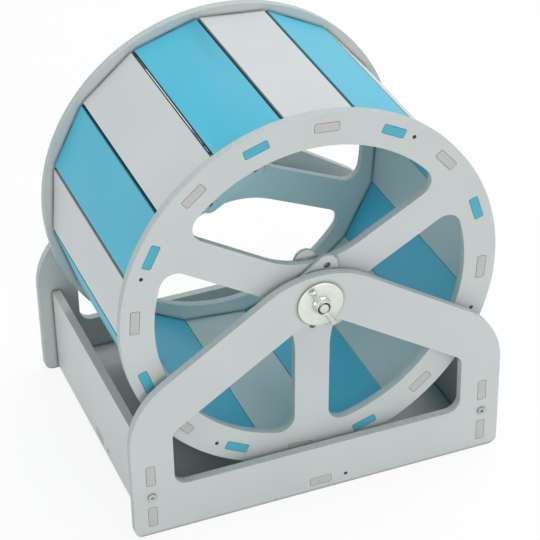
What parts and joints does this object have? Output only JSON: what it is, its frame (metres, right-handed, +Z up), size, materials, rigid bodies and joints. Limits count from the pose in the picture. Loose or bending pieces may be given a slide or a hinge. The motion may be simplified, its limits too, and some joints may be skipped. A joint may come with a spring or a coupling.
{
  "type": "rodent exercise wheel",
  "caption": "Drum-shaped running wheel of slatted foam board with spoked side discs, turning on a slot-together stand between two arched panels.",
  "frame": {"origin": "on the ground under the middle of the stand", "axes": "+X to the right along the front stand panel, +Y along the axle to the back, +Z up"},
  "size_m": [0.2246, 0.192, 0.2398],
  "materials": {
    "grey_board": "smooth closed-cell foam PVC board",
    "blue_board": "smooth closed-cell foam PVC board",
    "zinc_steel": "bright zinc plating",
    "bearing_steel": "ground bearing steel",
    "cage_steel": "pressed sheet steel"
  },
  "bodies": {
    "stand": {"front_stand": "grey_board", "rear_stand": "grey_board", "left_side_plate": "grey_board", "right_side_plate": "grey_board", "base_board": "grey_board", "front_stand_screws": "zinc_steel", "rear_stand_screws": "zinc_steel", "front_axle_bolt": "zinc_steel", "front_head_sleeve": "zinc_steel", "front_hub_sleeve": "zinc_steel", "front_inner_washer": "zinc_steel", "front_fender_washer": "zinc_steel", "front_wing_nut": "zinc_steel", "front_bearing_inner_ring": "bearing_steel", "rear_axle_bolt": "zinc_steel", "rear_head_sleeve": "zinc_steel", "rear_hub_sleeve": "zinc_steel", "rear_inner_washer": "zinc_steel", "rear_fender_washer": "zinc_steel", "rear_wing_nut": "zinc_steel", "rear_bearing_inner_ring": "bearing_steel", "rear_lock_nut": "zinc_steel"},
    "wheel": {"front_disc": "grey_board", "rear_disc": "grey_board", "slat_01": "grey_board", "slat_02": "blue_board", "slat_03": "grey_board", "slat_04": "blue_board", "slat_05": "grey_board", "slat_06": "blue_board", "slat_07": "grey_board", "slat_08": "blue_board", "slat_09": "grey_board", "slat_10": "blue_board", "slat_11": "grey_board", "slat_12": "blue_board", "slat_13": "grey_board", "slat_14": "blue_board", "slat_15": "grey_board", "slat_16": "blue_board", "front_hub_plate_outer": "grey_board", "front_hub_plate_inner": "grey_board", "front_bearing_outer_ring": "bearing_steel", "rear_hub_plate_outer": "grey_board", "rear_hub_plate_inner": "grey_board", "rear_bearing_outer_ring": "bearing_steel"},
    "front_ball_set": {"front_bearing_balls": "bearing_steel", "front_bearing_cage": "cage_steel"},
    "rear_ball_set": {"rear_bearing_balls": "bearing_steel", "rear_bearing_cage": "cage_steel"}
  },
  "joints": [
    {"name": "wheel_spin", "type": "hinge", "parent": "stand", "child": "wheel", "pos_m": [0, 0, 0.129], "axis": [0, 1, 0], "continuous": true},
    {"name": "front_ball_set_turn", "type": "hinge", "parent": "stand", "child": "front_ball_set", "pos_m": [0, -0.0775, 0.129], "axis": [0, 1, 0], "continuous": true},
    {"name": "rear_ball_set_turn", "type": "hinge", "parent": "stand", "child": "rear_ball_set", "pos_m": [0, 0.0615, 0.129], "axis": [0, 1, 0], "continuous": true}
  ],
  "couplings": [
    {"joint": "front_ball_set_turn", "follows": "wheel_spin", "ratio": 0.61579},
    {"joint": "rear_ball_set_turn", "follows": "wheel_spin", "ratio": 0.61579}
  ]
}
